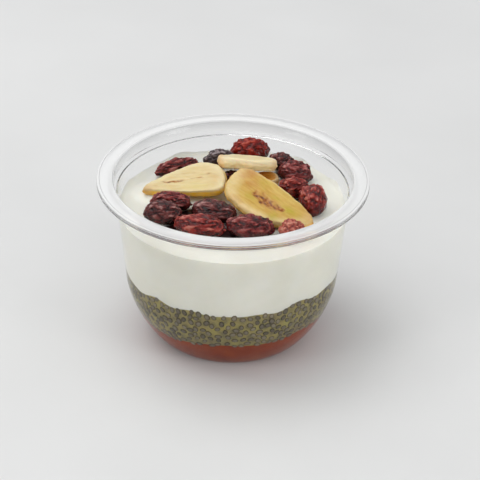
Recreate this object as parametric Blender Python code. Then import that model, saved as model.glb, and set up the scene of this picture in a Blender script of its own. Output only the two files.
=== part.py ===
"""A chia pudding in its clear plastic pot, built at real size.

From the bottom up: a layer of fruit puree, a layer of soaked chia seeds, a layer of thick
yogurt and, on the yogurt, dried cranberries with slices of dried banana leaning on them.
The origin is the middle of the foot, on the surface that the pot stands on, with +Z up and
-Y towards the viewer. Lengths are in metres.
"""

import math
import random
from collections import namedtuple

import bmesh
import bpy
from mathutils import Euler, Matrix, Vector, noise

MM = 0.001
MERGE = 1e-7

# Driving dimensions of the pot
RIM_RADIUS = 47.5 * MM
POT_HEIGHT = 61.5 * MM
WALL = 0.8 * MM
MOUTH_RADIUS = 41.7 * MM
WALL_TOP_RADIUS = 41.0 * MM
KNEE_RADIUS = 37.6 * MM
KNEE_HEIGHT = 22.6 * MM
FOOT_RADIUS = 25.0 * MM
FOOT_RING_WIDTH = 4.0 * MM
FOOT_SLOPE = 1.5 * MM
FOOT_RECESS = 1.0 * MM
LEDGE_DROP = 5.0 * MM
LEDGE_STEP = 1.2 * MM
LEDGE_RISE = 0.7 * MM
NECK_DROP = 1.6 * MM
LIP_DROP = 1.7 * MM
LIP_WIDTH = 0.9 * MM
EDGE_ROUND = 0.7 * MM
BOWL_POWER = 1.43
BOWL_PARTS = 6
POT_STEPS = 56

# The layers: each height is where the layer ends against the wall
FIT_GAP = 0.3 * MM
PUREE_TOP = 13.2 * MM
CHIA_TOP = 27.65 * MM
YOGURT_TOP = 49.7 * MM
YOGURT_SWELL = 0.35 * MM
YOGURT_SWELL_WIDTH = 14 * MM
MENISCUS = 0.5 * MM
LAYER_STEPS = 60

# The waves of a layer's edge: how many go round, how high they are in mm, and their turn
PUREE_WAVES = ((1, 0.6, 1.7), (3, 0.6, -1.6), (6, 0.7, -0.5))
CHIA_WAVES = ((2, 0.4, -3.1), (5, 0.5, -0.5), (9, 0.2, 3.1), (13, 0.4, 0.9), (18, 0.3, -0.7))

# The chia seeds show as bumps of their size on the side of their layer
CHIA_STEPS = 160
CHIA_ROWS = 12
SEED_RELIEF = 0.45 * MM
SEED_UNEVEN = 0.12 * MM

# The toppings rest a hair above the yogurt, pressed flat over this share of their half height
REST = YOGURT_TOP + 0.4 * MM
BERRY_FLAT = 0.78
BERRY_STEPS = 14
BERRY_ROWS = 8
BERRY_SKIN = 0.92
BERRY_FOLD = 0.10
BERRY_LUMP = 0.13
BERRY_BEND = 0.10

# A dried cranberry: its middle, its length, width and height, all in millimetres, its turn
# about the vertical in degrees, and its tone
Berry = namedtuple("Berry", "x y long wide high turn tone")
BERRIES = {
    "cranberry_back_red": Berry(6.4, 31.8, 14.4, 8.4, 11.0, 4, "red"),
    "cranberry_back_dark": Berry(-4.9, 26.8, 12.2, 7.0, 8.0, 8, "dark"),
    "cranberry_back_left": Berry(-20.2, 21.2, 17.8, 6.8, 6.8, 30, "wine"),
    "cranberry_right_far": Berry(17.4, 25.8, 10.6, 7.4, 7.4, -20, "dark"),
    "cranberry_right_upper": Berry(22.2, 17.4, 13.0, 9.2, 8.8, -8, "wine"),
    "cranberry_right_middle": Berry(21.6, 6.2, 11.8, 8.4, 8.6, 12, "wine"),
    "cranberry_right_front": Berry(27.9, -3.3, 10.6, 14.4, 10.4, 6, "red"),
    "cranberry_left_upper": Berry(-21.1, -5.2, 15.4, 7.4, 8.0, -6, "dark"),
    "cranberry_left_lower": Berry(-23.9, -13.4, 14.2, 9.0, 9.2, -9, "dark"),
    "cranberry_middle": Berry(-6.5, -11.4, 17.0, 10.8, 9.0, -14, "dark"),
    "cranberry_front_left": Berry(-11.2, -21.4, 19.2, 9.2, 8.6, -10, "red"),
    "cranberry_front_middle": Berry(6.0, -21.7, 16.6, 9.4, 9.2, -4, "dark"),
    "cranberry_front_right": Berry(20.3, -23.2, 10.2, 6.8, 8.8, 4, "pink"),
    "cranberry_centre": Berry(-0.3, 13.4, 9.8, 7.2, 6.2, 4, "dark"),
}

# A slice of dried banana: its middle, length, width and thickness in millimetres, its turn,
# its slope along its length and its slope across in degrees, how much fatter its right end
# is, and how straight its near edge is cut, or its far edge where that is less than nothing
Chip = namedtuple("Chip", "x y z long wide thick turn slope roll egg cut")
CHIPS = {
    "banana_left": Chip(-17.2, 1.5, 54.4, 30.2, 29.0, 3.5, -8, -7.5, 5, 0.60, 0.85),
    "banana_right": Chip(14.6, -4.1, 55.5, 37.4, 29.2, 3.7, -45, 10.6, 6, -0.18, -0.72),
    "banana_top": Chip(4.8, 16.2, 57.6, 21.7, 15.0, 4.2, -2, 3, -21, 0.0, 0.3),
    "banana_under": Chip(11.2, 13.8, 52.1, 10.4, 7.4, 3.4, 8, 0, 3, 0.10, 0.0),
}
CHIP_STEPS = 24
CHIP_SECTION = [(0, -1), (0.5, -1), (0.9, -0.92), (1, 0), (0.93, 0.92), (0.5, 1), (0, 1)]
CHIP_UNEVEN = 0.05
CHIP_WARP = 0.35 * MM
HEART_LONG = 0.42
HEART_WIDE = 0.30
HEART_HOLLOW = 0.22


def bowl_point(share, inset):
    """The (radius, height) on the bowl at share 0 (foot) to 1 (knee), moved inwards by inset."""
    angle = share * math.pi / 2
    width = KNEE_RADIUS - FOOT_RADIUS
    radius = FOOT_RADIUS + width * math.sin(angle) ** BOWL_POWER
    height = KNEE_HEIGHT * (1 - math.cos(angle) ** BOWL_POWER)
    lean = math.atan2(
        KNEE_HEIGHT * math.sin(angle) ** (2 - BOWL_POWER),
        width * math.cos(angle) ** (2 - BOWL_POWER),
    )
    return radius - inset * math.sin(lean), height + inset * math.cos(lean)


def wall_radius(height, inset):
    """Radius of the pot's outside at a height, less inset measured square to the wall."""
    if height > bowl_point(1, inset)[1]:
        rise = POT_HEIGHT - LEDGE_DROP - KNEE_HEIGHT
        slope = (WALL_TOP_RADIUS - KNEE_RADIUS) / rise
        return KNEE_RADIUS + slope * (height - KNEE_HEIGHT) - inset
    low, high = 0.0, 1.0
    for _ in range(30):
        middle = (low + high) / 2
        if bowl_point(middle, inset)[1] < height:
            low = middle
        else:
            high = middle
    return bowl_point(low, inset)[0]


def material(name, colour, roughness, transmission=0.0):
    """A plain surface finish with the part's own colour."""
    made = bpy.data.materials.new(name)
    made.use_nodes = True
    shader = made.node_tree.nodes["Principled BSDF"]
    shader.inputs["Base Color"].default_value = (*colour, 1)
    shader.inputs["Roughness"].default_value = roughness
    shader.inputs["Transmission Weight"].default_value = transmission
    made.diffuse_color = (*colour, 1)
    return made


def turned(name, outline, steps, finish, shape=None):
    """A closed solid: the outline, from the axis to the axis, is spun about Z and then shaped."""
    form = bmesh.new()
    points = [form.verts.new((radius, 0, height)) for radius, height in outline]
    edges = [form.edges.new(pair) for pair in zip(points, points[1:])]
    bmesh.ops.spin(
        form, geom=points + edges, cent=(0, 0, 0), axis=(0, 0, 1), dvec=(0, 0, 0),
        angle=2 * math.pi, steps=steps, use_merge=True, use_duplicate=False,
    )
    bmesh.ops.remove_doubles(form, verts=form.verts, dist=MERGE)
    bmesh.ops.recalc_face_normals(form, faces=form.faces)
    if shape:
        for vertex in form.verts:
            vertex.co = shape(vertex.co.copy())
    mesh = bpy.data.meshes.new(name)
    form.to_mesh(mesh)
    form.free()
    mesh.shade_smooth()
    mesh.set_sharp_from_angle(angle=math.radians(40))
    made = bpy.data.objects.new(name, mesh)
    made.data.materials.append(finish)
    bpy.context.scene.collection.objects.link(made)
    return made


def rounded(middle, size, start, end, parts):
    """Points of an arc about its middle, between two angles in degrees."""
    angles = [math.radians(start + (end - start) * i / parts) for i in range(parts + 1)]
    return [(middle[0] + size * math.cos(a), middle[1] + size * math.sin(a)) for a in angles]


def pot_outline():
    """The pot's section: out along the underside, up the outside and back down the inside."""
    ring_inner = FOOT_RADIUS - FOOT_RING_WIDTH
    recess = ring_inner - FOOT_SLOPE
    ledge = POT_HEIGHT - LEDGE_DROP
    neck = WALL_TOP_RADIUS + LEDGE_STEP
    under_flange = POT_HEIGHT - WALL
    lip_low = POT_HEIGHT - LIP_DROP
    round_height = POT_HEIGHT - EDGE_ROUND
    shares = [i / BOWL_PARTS for i in range(BOWL_PARTS + 1)]
    underside = [(0, FOOT_RECESS), (recess, FOOT_RECESS), (ring_inner, 0)]
    outside = [bowl_point(share, 0) for share in shares]
    outside += [(WALL_TOP_RADIUS, ledge - WALL), (neck, ledge - WALL / 2)]
    outside += [(MOUTH_RADIUS + WALL, POT_HEIGHT - NECK_DROP)]
    flange = [(MOUTH_RADIUS + 2 * WALL, under_flange)]
    flange += [(RIM_RADIUS - 2 * LIP_WIDTH, under_flange), (RIM_RADIUS - LIP_WIDTH, lip_low)]
    flange += [(RIM_RADIUS, lip_low)]
    flange += rounded((RIM_RADIUS - EDGE_ROUND, round_height), EDGE_ROUND, 0, 90, 2)
    flange += rounded((MOUTH_RADIUS + EDGE_ROUND, round_height), EDGE_ROUND, 90, 180, 2)
    inside = [(neck - WALL, ledge + LEDGE_RISE), (wall_radius(ledge, WALL), ledge)]
    inside += [bowl_point(share, WALL) for share in reversed(shares)]
    inside += [(ring_inner - WALL / 2, WALL), (recess - WALL / 2, FOOT_RECESS + WALL)]
    inside += [(0, FOOT_RECESS + WALL)]
    return underside + outside + flange + inside


def edge_height(height, waves, angle):
    """The height of a layer's edge on the wall, in the direction of an angle."""
    return height + sum(high * math.sin(count * angle + turn) for count, high, turn in waves) * MM


def on_wall(angle, height, inset):
    """The point on the wall in the direction of an angle, at a height."""
    radius = wall_radius(height, inset)
    return Vector((radius * math.cos(angle), radius * math.sin(angle), height))


def puree(finish):
    """The fruit puree in the bowl of the pot, over the recess of its foot."""
    inset = WALL + FIT_GAP
    top = PUREE_TOP - FIT_GAP / 2
    ring_inner = FOOT_RADIUS - FOOT_RING_WIDTH - WALL / 2
    recess = ring_inner - FOOT_SLOPE
    outline = [(0, FOOT_RECESS + inset), (recess, FOOT_RECESS + inset), (ring_inner, inset)]
    outline += [bowl_point(share, inset) for share in (0, 0.12, 0.24, 0.36, 0.48)]
    outline += [(wall_radius(top, inset), top), (0, top)]

    def shape(point):
        if point.z < top - MERGE or point.xy.length < MERGE:
            return point
        angle = math.atan2(point.y, point.x)
        return on_wall(angle, edge_height(top, PUREE_WAVES, angle), inset)

    return turned("fruit_puree", outline, LAYER_STEPS, finish, shape)


def chia(finish):
    """The soaked chia seeds: one body whose side is covered by bumps of the size of seeds."""
    draw = random.Random(11)
    inset = WALL + FIT_GAP
    floor = PUREE_TOP + FIT_GAP / 2
    top = CHIA_TOP - FIT_GAP / 2
    heights = [floor + (top - floor) * i / CHIA_ROWS for i in range(CHIA_ROWS + 1)]
    side = [(wall_radius(height, inset), height) for height in heights]

    def shape(point):
        if point.xy.length < MERGE:
            return point
        angle = math.atan2(point.y, point.x)
        share = (point.z - floor) / (top - floor)
        row = round(share * CHIA_ROWS)
        column = round(angle / (2 * math.pi) * CHIA_STEPS)
        low = edge_height(floor, PUREE_WAVES, angle)
        high = edge_height(top, CHIA_WAVES, angle)
        crown = row % 2 == 1 and (column + row // 2) % 2 == 0
        dip = draw.uniform(0, SEED_UNEVEN) + (0 if crown else SEED_RELIEF)
        return on_wall(angle, low + (high - low) * share, inset + dip)

    return turned("chia_seeds", [(0, floor)] + side + [(0, top)], CHIA_STEPS, finish, shape)


def yogurt(finish):
    """The thick yogurt: smooth against the wall, softly waved on top, drawn up at the wall."""
    inset = WALL + FIT_GAP
    floor = CHIA_TOP + FIT_GAP / 2
    heights = [floor + (YOGURT_TOP - floor) * share for share in (0, 0.35, 0.7, 1)]
    outline = [(0, floor)] + [(wall_radius(height, inset), height) for height in heights]
    brim = outline[-1][0]
    outline += [(brim * share, YOGURT_TOP) for share in (0.96, 0.86, 0.7, 0.5, 0.25, 0)]

    def shape(point):
        reach = point.xy.length / brim
        if point.z > YOGURT_TOP - MERGE:
            swell = noise.noise(Vector((point.x, point.y, 0)) / YOGURT_SWELL_WIDTH)
            point.z += YOGURT_SWELL * swell * min(1, 2 * reach) + MENISCUS * reach**10
        elif reach > MERGE and point.z < floor + MERGE:
            angle = math.atan2(point.y, point.x)
            point = on_wall(angle, edge_height(floor, CHIA_WAVES, angle), inset)
        return point

    return turned("yogurt", outline, LAYER_STEPS, finish, shape)


def shrivelled(direction, seed):
    """How far the skin of a dried berry stands out in a direction: folds run mostly lengthways."""
    across = Vector((direction.x * 1.4, direction.y * 2.5, direction.z * 2.5))
    fold = 1 - 2 * abs(noise.noise(across + Vector((seed * 7.3, seed * 3.1, 0))))
    lump = noise.noise(direction * 1.3 + Vector((0, seed * 5.7, seed * 2.9)))
    return BERRY_SKIN + BERRY_FOLD * fold + BERRY_LUMP * lump


def cranberry(name, berry, seed, finish):
    """A dried cranberry: a shrivelled oval with its underside pressed flat by what it lies on."""
    size = Vector((berry.long, berry.wide, berry.high)) * MM / 2
    flat = -BERRY_FLAT * size.z
    bend = BERRY_BEND * math.sin(seed * 2.1) * size.y

    def shape(point):
        made = point * size * shrivelled(point, seed)
        made.y += bend * (2 * point.x**2 - 1)
        made.z = max(made.z, flat)
        return made

    arc = rounded((0, 0), 1, -90, 90, BERRY_ROWS)
    outline = [(0, -1)] + arc[1:-1] + [(0, 1)]
    made = turned(name, outline, BERRY_STEPS, finish, shape)
    made.location = (berry.x * MM, berry.y * MM, REST - flat)
    made.rotation_euler = Euler((0, 0, math.radians(berry.turn)))
    return made


def banana_slice(name, chip, seed, finish):
    """A slice of dried banana: an uneven oval slab with soft edges and a hollow heart."""
    size = Vector((chip.long, chip.wide, chip.thick)) * MM / 2

    def shape(point):
        reach = point.xy.length
        angle = math.atan2(point.y, point.x)
        rough = noise.noise(Vector((math.cos(angle), math.sin(angle), seed)) * 1.7)
        along = point.x * (1 + CHIP_UNEVEN * rough)
        across = point.y * (1 + CHIP_UNEVEN * rough) * (1 + chip.egg * along)
        across *= 1 - max(chip.cut, 0) if across < 0 else 1 + min(chip.cut, 0)
        heart = math.exp(-((along / HEART_LONG) ** 2) - (across / HEART_WIDE) ** 2)
        warp = noise.noise(Vector((along * 1.6, across * 1.6, seed * 3.3))) * reach
        height = point.z * size.z * (1 - HEART_HOLLOW * heart) + CHIP_WARP * warp
        return Vector((along * size.x, across * size.y, height))

    made = turned(name, CHIP_SECTION, CHIP_STEPS, finish, shape)
    turn = Matrix.Rotation(math.radians(chip.turn), 4, "Z")
    slope = Matrix.Rotation(math.radians(chip.slope), 4, "Y")
    roll = Matrix.Rotation(math.radians(chip.roll), 4, "X")
    place = Matrix.Translation(Vector((chip.x, chip.y, chip.z)) * MM)
    made.matrix_world = place @ turn @ slope @ roll
    return made


def main():
    for old in list(bpy.data.objects):
        bpy.data.objects.remove(old)
    tones = {
        "red": material("cranberry_red", (0.30, 0.035, 0.03), 0.35),
        "wine": material("cranberry_wine", (0.17, 0.02, 0.03), 0.35),
        "dark": material("cranberry_dark", (0.06, 0.012, 0.018), 0.35),
        "pink": material("cranberry_pink", (0.40, 0.09, 0.08), 0.4),
    }
    dried_banana = material("dried_banana", (0.80, 0.60, 0.26), 0.5)
    clear_plastic = material("clear_plastic", (0.93, 0.95, 0.95), 0.05, 0.9)
    turned("pot", pot_outline(), POT_STEPS, clear_plastic)
    puree(material("fruit_puree", (0.33, 0.09, 0.035), 0.4))
    chia(material("chia_gel", (0.20, 0.17, 0.07), 0.4))
    yogurt(material("yogurt", (0.86, 0.86, 0.80), 0.35))
    for seed, (name, berry) in enumerate(BERRIES.items(), start=1):
        cranberry(name, berry, seed, tones[berry.tone])
    for seed, (name, chip) in enumerate(CHIPS.items(), start=1):
        banana_slice(name, chip, seed, dried_banana)


main()
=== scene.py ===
# %% [markdown]
# # A chia pudding in its clear pot
#
# The dessert is built in the order in which it is made: a clear plastic pot, fruit puree, soaked
# chia seeds, thick yogurt, and dried fruit on top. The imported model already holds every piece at
# its true size and place. It is loaded first, and each piece made below takes the place of one
# of its plain solids.

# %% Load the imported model
import math

import bpy
import numpy as np
from mathutils import Matrix, Vector, noise


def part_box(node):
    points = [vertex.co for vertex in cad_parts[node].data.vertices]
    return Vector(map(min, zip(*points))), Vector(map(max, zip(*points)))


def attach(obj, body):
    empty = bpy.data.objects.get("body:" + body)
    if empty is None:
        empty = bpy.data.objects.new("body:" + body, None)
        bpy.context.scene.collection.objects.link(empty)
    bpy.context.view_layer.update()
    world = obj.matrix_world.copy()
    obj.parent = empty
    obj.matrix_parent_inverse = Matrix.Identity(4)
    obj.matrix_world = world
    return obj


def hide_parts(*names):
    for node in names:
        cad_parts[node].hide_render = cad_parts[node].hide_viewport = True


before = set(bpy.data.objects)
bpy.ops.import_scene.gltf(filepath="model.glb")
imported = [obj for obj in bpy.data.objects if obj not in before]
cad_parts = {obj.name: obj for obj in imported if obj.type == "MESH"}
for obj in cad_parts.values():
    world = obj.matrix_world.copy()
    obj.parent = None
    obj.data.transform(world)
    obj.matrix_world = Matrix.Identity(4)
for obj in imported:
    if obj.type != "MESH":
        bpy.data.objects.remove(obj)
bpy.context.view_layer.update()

MM = 0.001

# %% [markdown]
# ## A few habits of the hand
#
# Most tools in Blender work on what is selected. So one helper selects exactly the objects that
# the next step is about, and another turns a piece's modifiers into plain mesh. Points are read
# and measured all at once, as rows of numbers, which is much quicker than one at a time.

# %% Helpers for selecting and measuring
def only(*chosen):
    """Selects these objects and nothing else, with the first one active."""
    bpy.ops.object.select_all(action="DESELECT")
    for each in chosen:
        each.select_set(True)
    bpy.context.view_layer.objects.active = chosen[0]


def apply_modifiers(piece):
    """Turns the modifiers of a piece into mesh, in their order."""
    only(piece)
    for modifier in list(piece.modifiers):
        bpy.ops.object.modifier_apply(modifier=modifier.name)


def points_of(piece):
    """The points of a piece as rows of x, y and z."""
    flat = np.empty(len(piece.data.vertices) * 3, np.float32)
    piece.data.vertices.foreach_get("co", flat)
    return flat.reshape(-1, 3).astype(float)


def put_points(piece, points):
    """Moves the points of a piece to these rows of x, y and z."""
    piece.data.vertices.foreach_set("co", np.asarray(points, np.float32).ravel())
    piece.data.update()


def paint(piece, name, values):
    """Stores one number for each point of a piece, for its finish to read."""
    layer = piece.data.attributes.new(name, "FLOAT", "POINT")
    layer.data.foreach_set("value", np.asarray(values, np.float32))


def ease(low, high, value):
    """Climbs softly from 0 at low to 1 at high."""
    share = np.clip((value - low) / (high - low), 0, 1)
    return share * share * (3 - 2 * share)


# %% [markdown]
# ## Helpers for finishes
#
# A finish is a small tree of nodes round one shader. What is the same all over is set straight
# on the shader. What changes from place to place, such as a mottled colour, is a pattern that is
# linked to it. These helpers keep the finishes below down to a line or two for each node.

# %% Helpers for finishes
def finish(name, **plain):
    """A new finish, with its tree, its shader, and plain values set on the shader."""
    made = bpy.data.materials.new(name)
    made.use_nodes = True
    shader = made.node_tree.nodes["Principled BSDF"]
    for socket, value in plain.items():
        shader.inputs[socket.replace("_", " ")].default_value = value
    return made, made.node_tree, shader


def add(tree, kind, inputs=None, **settings):
    """Adds a node and returns it. An input is given as a plain value or as another's output."""
    made = tree.nodes.new("ShaderNode" + kind)
    for key, value in settings.items():
        setattr(made, key, value)
    for socket, value in (inputs or {}).items():
        if isinstance(value, bpy.types.NodeSocket):
            tree.links.new(value, made.inputs[socket])
        else:
            made.inputs[socket].default_value = value
    return made


def ramp(tree, source, *stops):
    """Colours along a scale from 0 to 1, each stop given as its place and its colour."""
    made = add(tree, "ValToRGB", {"Fac": source})
    scale = made.color_ramp
    while len(scale.elements) < len(stops):
        scale.elements.new(0.5)
    for element, (place, colour) in zip(scale.elements, stops):
        element.position = place
        element.color = (*colour, 1)
    return made.outputs["Color"]


def mottle(tree, size, detail=3.0, where=None):
    """Cloudy noise from 0 to 1, whose patches are about as large as size, in metres."""
    where = where or add(tree, "TexCoord").outputs["Object"]
    inputs = {"Vector": where, "Scale": 1 / size, "Detail": detail}
    return add(tree, "TexNoise", inputs).outputs["Fac"]


def number(tree, what, first, second=0.5, third=0.5):
    """A sum on numbers, such as MULTIPLY_ADD."""
    return add(tree, "Math", {0: first, 1: second, 2: third}, operation=what).outputs[0]


def blend_colours(tree, share, first, second, how="MIX"):
    """Mixes two colours, or puts one on the other in another way, by a share from 0 to 1."""
    made = add(tree, "Mix", data_type="RGBA", blend_type=how)
    for socket, value in zip((0, 6, 7), (share, first, second)):
        if isinstance(value, bpy.types.NodeSocket):
            tree.links.new(value, made.inputs[socket])
        else:
            made.inputs[socket].default_value = value if socket == 0 else (*value, 1)
    return made.outputs[2]


def bumps(tree, shader, height, depth):
    """Lets a pattern raise the surface by up to depth, in metres."""
    made = add(tree, "Bump", {"Height": height, "Distance": depth, "Strength": 1.0})
    tree.links.new(made.outputs["Normal"], shader.inputs["Normal"])


# %% [markdown]
# ## The camera
#
# The picture looks down into the pot by about 31 degrees, from far enough away that the rim is
# nearly a true ellipse. The camera is turned about its own axis by one degree, because the real
# one was not quite level. A small shift puts the pot a little left of the middle.

# %% Camera
LOOK_DOWN = math.radians(31.3)
ROLL = math.radians(0.969)
DISTANCE = 0.7
AIM = Vector((0, 0, 0.03078))
away = Vector((0, -math.cos(LOOK_DOWN), math.sin(LOOK_DOWN)))
turn = Matrix.Rotation(math.pi / 2 - LOOK_DOWN, 4, "X") @ Matrix.Rotation(ROLL, 4, "Z")
bpy.ops.object.camera_add(location=AIM + away * DISTANCE, rotation=turn.to_euler())
camera = bpy.context.object
camera.name = "camera"
camera.data.lens = 147.6
camera.data.sensor_width = 36
camera.data.shift_x = 0.0169
camera.data.shift_y = 0.0229
camera.data.clip_start = 0.01
bpy.context.scene.camera = camera
print("the camera stands", round(camera.location.length, 3), "m from the foot of the pot")

# %% [markdown]
# ## The floor and the light
#
# Clear plastic shows what is round it, so it needs a calm pale place to stand. The floor is a
# large plane in a very light grey with a faint mottle. A wide lamp above and a little behind
# draws soft shine on the wet fruit, and two weaker ones fill the shadows. The plain view
# transform keeps the pale colours as clean as they are on the real dessert.

# %% Floor
bpy.ops.mesh.primitive_plane_add(size=6, location=(0, 0, 0))
floor = bpy.context.object
floor.name = floor.data.name = "floor"
floor_finish, tree, shader = finish("pale_floor", Roughness=0.6)
speckle = mottle(tree, 0.09)
tree.links.new(
    ramp(tree, speckle, (0.3, (0.72, 0.72, 0.71)), (0.7, (0.76, 0.76, 0.75))),
    shader.inputs["Base Color"],
)
floor.data.materials.append(floor_finish)

# %% Light
def softbox(name, place, size, power):
    """A square lamp that shines on the pot."""
    bpy.ops.object.light_add(type="AREA", location=place)
    lamp = bpy.context.object
    lamp.name = name
    lamp.rotation_euler = (Vector(place) - AIM).to_track_quat("Z", "Y").to_euler()
    lamp.data.size = size
    lamp.data.energy = power


softbox("lamp_above", (-0.32, 0.16, 0.88), 0.70, 3.4)
softbox("lamp_left", (-0.90, -0.50, 0.50), 0.40, 1.9)
softbox("lamp_right", (0.85, -0.60, 0.45), 0.40, 2.5)
world = bpy.data.worlds.new("soft_room")
world.use_nodes = True
world.node_tree.nodes["Background"].inputs["Color"].default_value = (0.97, 0.98, 1.0, 1)
world.node_tree.nodes["Background"].inputs["Strength"].default_value = 0.63
bpy.context.scene.world = world
bpy.context.scene.view_settings.view_transform = "Standard"

# %% [markdown]
# ## The shape of the pot
#
# The real pot is pressed from one thin sheet, so it is round everywhere and its wall is equally
# thick. Such a shape is best turned: half of its section is drawn point by point, by extruding
# one corner again and again, and then spun about the upright axis. The bowl of the section is a
# flattened quarter of an oval, which runs into a nearly straight wall. Fine grooves in the rim and
# the ledge are part of the section too, because that is where the sheet was folded.

# %% The pot's measures
RIM_RADIUS = 47.5 * MM
POT_HEIGHT = 61.5 * MM
WALL = 0.8 * MM
MOUTH_RADIUS = 41.7 * MM
WALL_TOP_RADIUS = 41.0 * MM
KNEE_RADIUS = 37.6 * MM
KNEE_HEIGHT = 22.6 * MM
FOOT_RADIUS = 25.0 * MM
FOOT_RING_WIDTH = 4.0 * MM
FOOT_SLOPE = 1.5 * MM
FOOT_RECESS = 1.0 * MM
LEDGE_DROP = 5.0 * MM
LEDGE_STEP = 1.2 * MM
LEDGE_RISE = 0.7 * MM
NECK_DROP = 1.6 * MM
LIP_DROP = 1.7 * MM
LIP_WIDTH = 0.9 * MM
EDGE_ROUND = 0.7 * MM
BOWL_POWER = 1.43


def bowl_point(share, inset):
    """The (radius, height) on the bowl at share 0 (foot) to 1 (knee), moved inwards by inset."""
    angle = share * math.pi / 2
    width = KNEE_RADIUS - FOOT_RADIUS
    radius = FOOT_RADIUS + width * math.sin(angle) ** BOWL_POWER
    height = KNEE_HEIGHT * (1 - math.cos(angle) ** BOWL_POWER)
    lean = math.atan2(
        KNEE_HEIGHT * math.sin(angle) ** (2 - BOWL_POWER),
        width * math.cos(angle) ** (2 - BOWL_POWER),
    )
    return radius - inset * math.sin(lean), height + inset * math.cos(lean)


bowl_shares = np.linspace(0, 1, 400)
BOWL = {}


def wall_radius(height, inset):
    """The radius of the pot's outside at a height, less inset measured square to the wall."""
    if inset not in BOWL:
        BOWL[inset] = np.array([bowl_point(share, inset) for share in bowl_shares])
    rise = POT_HEIGHT - LEDGE_DROP - KNEE_HEIGHT
    straight = KNEE_RADIUS + (height - KNEE_HEIGHT) * (WALL_TOP_RADIUS - KNEE_RADIUS) / rise
    in_bowl = np.interp(height, BOWL[inset][:, 1], BOWL[inset][:, 0])
    return np.where(height > BOWL[inset][-1, 1], straight - inset, in_bowl)


print("inside the pot is", round(2000 * float(wall_radius(0.05, WALL)), 1), "mm wide at the yogurt")

# %% Turning
def turned(name, outline, steps):
    """Draws an outline point by point and spins it about the upright axis, as on a lathe."""
    bpy.ops.object.select_all(action="DESELECT")
    bpy.ops.mesh.primitive_plane_add(size=MM, location=(0, 0, 0))
    piece = bpy.context.object
    piece.name = piece.data.name = name
    bpy.ops.object.mode_set(mode="EDIT")
    bpy.ops.mesh.merge(type="CENTER")
    bpy.ops.transform.translate(value=(outline[0][0], 0, outline[0][1]))
    for (radius, height), (next_radius, next_height) in zip(outline, outline[1:]):
        step = (next_radius - radius, 0, next_height - height)
        bpy.ops.mesh.extrude_vertices_move(TRANSFORM_OT_translate={"value": step})
    bpy.ops.mesh.select_all(action="SELECT")
    bpy.ops.mesh.spin(steps=steps, angle=2 * math.pi, center=(0, 0, 0), axis=(0, 0, 1))
    bpy.ops.mesh.select_all(action="SELECT")
    bpy.ops.mesh.remove_doubles(threshold=0.001 * MM)
    bpy.ops.mesh.normals_make_consistent(inside=False)
    bpy.ops.object.mode_set(mode="OBJECT")
    print(name, "has", len(piece.data.polygons), "faces")
    return piece


# %% The clear pot
POT_STEPS = 160
BOWL_PARTS = 26
ROUND_PARTS = 5
GROOVE = 0.14 * MM
RIM_GROOVE_RADIUS = 46.5 * MM
LIP_GROOVE_DROP = 1.0 * MM


def arc(middle, size, start, end, parts):
    """Points of an arc about its middle, between two angles in degrees."""
    angles = np.radians(np.linspace(start, end, parts + 1))
    return [(middle[0] + size * math.cos(a), middle[1] + size * math.sin(a)) for a in angles]


def near(corner, other):
    """The point on the way from a corner to another point that is a groove's width from it."""
    away = Vector(other) - Vector(corner)
    return tuple(Vector(corner) + away.normalized() * GROOVE)


def pot_outline():
    """The pot's section: out along the underside, up the outside and back down the inside."""
    ring_inner = FOOT_RADIUS - FOOT_RING_WIDTH
    recess = ring_inner - FOOT_SLOPE
    ledge = POT_HEIGHT - LEDGE_DROP
    neck = WALL_TOP_RADIUS + LEDGE_STEP
    under_flange = POT_HEIGHT - WALL
    lip_low = POT_HEIGHT - LIP_DROP
    lip_line = POT_HEIGHT - LIP_GROOVE_DROP
    round_height = POT_HEIGHT - EDGE_ROUND
    shares = np.linspace(0, 1, BOWL_PARTS + 1)
    underside = [(0, FOOT_RECESS), (recess, FOOT_RECESS), (ring_inner, 0)]
    outside = [bowl_point(share, 0) for share in shares]
    under_ledge = (WALL_TOP_RADIUS, ledge - WALL)
    neck_low = (neck, ledge - WALL / 2)
    outside += [near(under_ledge, outside[-1]), under_ledge, near(under_ledge, neck_low)]
    outside += [neck_low, (MOUTH_RADIUS + WALL, POT_HEIGHT - NECK_DROP)]
    flange = [(MOUTH_RADIUS + 2 * WALL, under_flange)]
    flange += [(RIM_RADIUS - 2 * LIP_WIDTH, under_flange), (RIM_RADIUS - LIP_WIDTH, lip_low)]
    flange += [(RIM_RADIUS, lip_low), (RIM_RADIUS, lip_line - GROOVE)]
    flange += [(RIM_RADIUS - GROOVE, lip_line), (RIM_RADIUS, lip_line + GROOVE)]
    flange += arc((RIM_RADIUS - EDGE_ROUND, round_height), EDGE_ROUND, 0, 90, ROUND_PARTS)
    flange += [(RIM_GROOVE_RADIUS + GROOVE, POT_HEIGHT), (RIM_GROOVE_RADIUS, POT_HEIGHT - GROOVE)]
    flange += [(RIM_GROOVE_RADIUS - GROOVE, POT_HEIGHT)]
    flange += arc((MOUTH_RADIUS + EDGE_ROUND, round_height), EDGE_ROUND, 90, 180, ROUND_PARTS)
    neck_inner = (neck - WALL, ledge + LEDGE_RISE)
    ledge_inner = (float(wall_radius(ledge, WALL)), ledge)
    inside = [neck_inner, near(ledge_inner, neck_inner), ledge_inner]
    inside += [(float(wall_radius(ledge - GROOVE, WALL)), ledge - GROOVE)]
    inside += [bowl_point(share, WALL) for share in reversed(shares)]
    inside += [(ring_inner - WALL / 2, WALL), (recess - WALL / 2, FOOT_RECESS + WALL)]
    inside += [(0, FOOT_RECESS + WALL)]
    return underside + outside + flange + inside


pot = turned("clear_pot", pot_outline(), POT_STEPS)
only(pot)
bpy.ops.object.shade_smooth_by_angle(angle=math.radians(50))

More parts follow.
